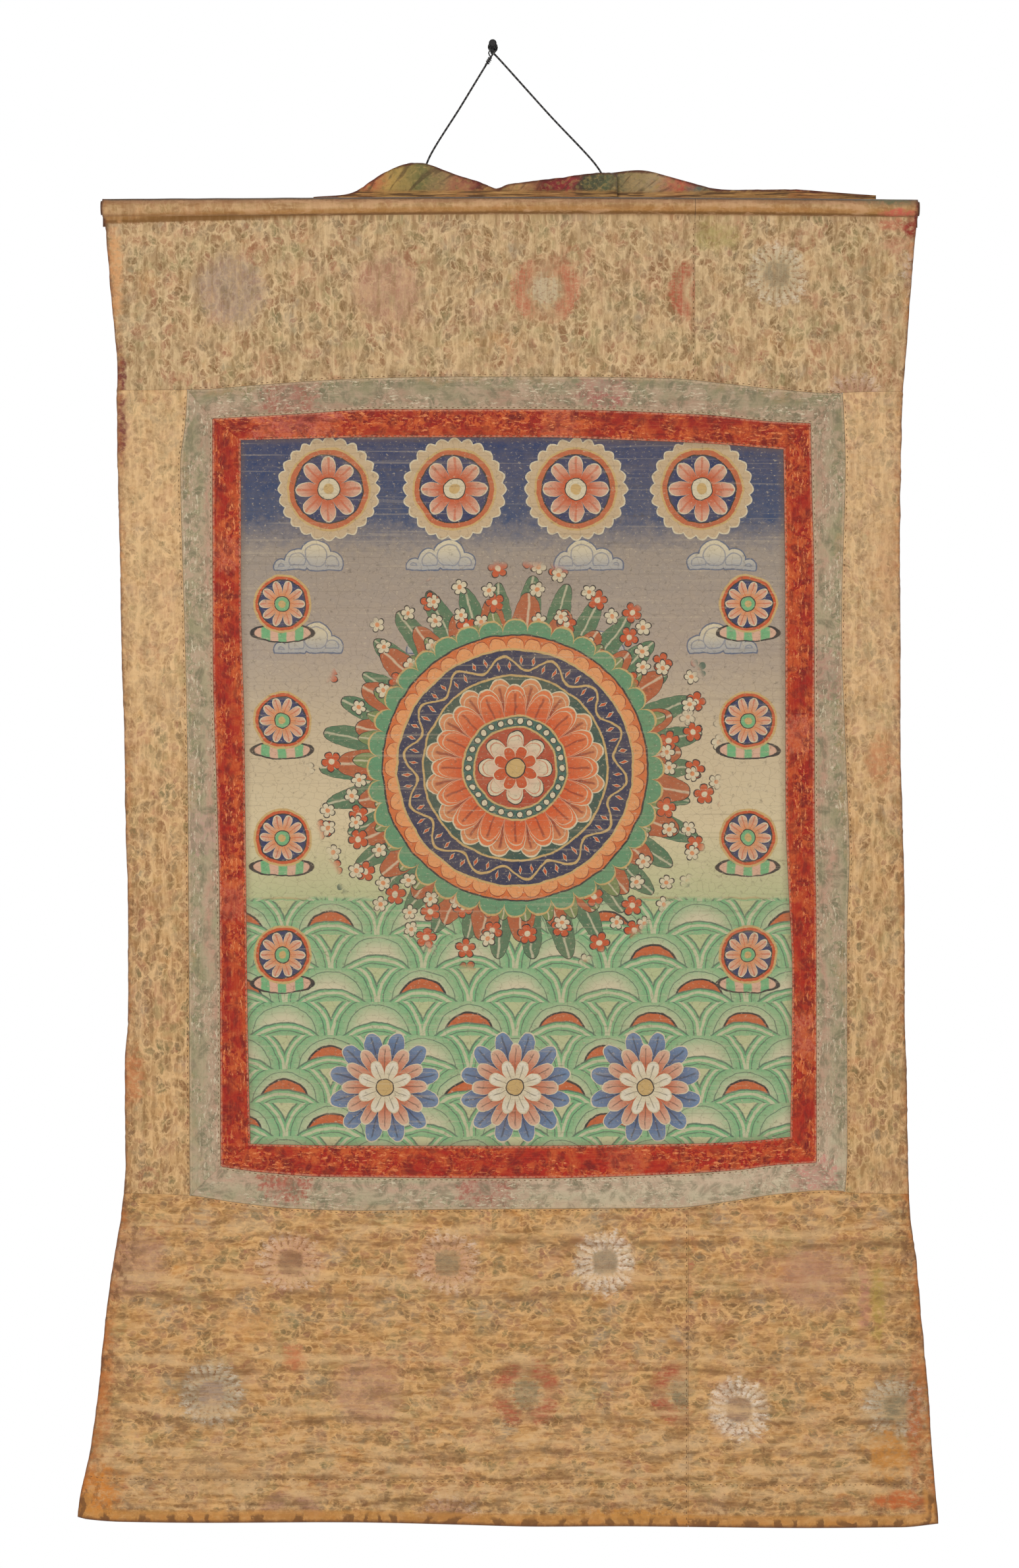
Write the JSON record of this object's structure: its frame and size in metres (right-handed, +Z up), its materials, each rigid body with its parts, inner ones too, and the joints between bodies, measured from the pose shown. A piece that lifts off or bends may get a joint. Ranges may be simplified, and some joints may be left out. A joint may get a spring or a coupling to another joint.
{
  "type": "thangka scroll painting with rod, cord and hanging nail",
  "caption": "Painted canvas in red and grey silk frames and a gold brocade mount, hung from a sleeved rod by a thin cord over a nail.",
  "frame": {"origin": "centre of the nail's flat end, where it enters the wall", "axes": "+Z up, +X to the right as seen from the front, the painted face towards -Y, the wall is the plane y = 0"},
  "size_m": [0.7661, 0.0351, 1.3245],
  "materials": {
    "gold_brocade": "worn figured silk, tan and gold, with faded rose, red and white flower heads",
    "red_silk": "worn brick-red figured silk",
    "grey_silk": "worn grey-green silk with faded pink patches",
    "painted_canvas": "matt mineral paint on sized cotton",
    "cover_silk": "worn patterned silk, olive, gold and dark red",
    "rod_wood": "old bare wood",
    "grey_string": "dark twisted string",
    "dark_iron": "blackened iron"
  },
  "bodies": {
    "root": {"painting": "painted_canvas", "red_strip_top": "red_silk", "red_strip_bottom": "red_silk", "red_strip_left": "red_silk", "red_strip_right": "red_silk", "grey_strip_top": "grey_silk", "grey_strip_bottom": "grey_silk", "grey_strip_left": "grey_silk", "grey_strip_right": "grey_silk", "top_panel_left": "gold_brocade", "top_panel_right": "gold_brocade", "side_panel_left": "gold_brocade", "side_panel_right": "gold_brocade", "bottom_panel_left": "gold_brocade", "bottom_panel_right": "gold_brocade", "cover_cloth": "cover_silk", "top_rod": "rod_wood", "hanging_cord": "grey_string", "nail": "dark_iron"}
  },
  "joints": []
}
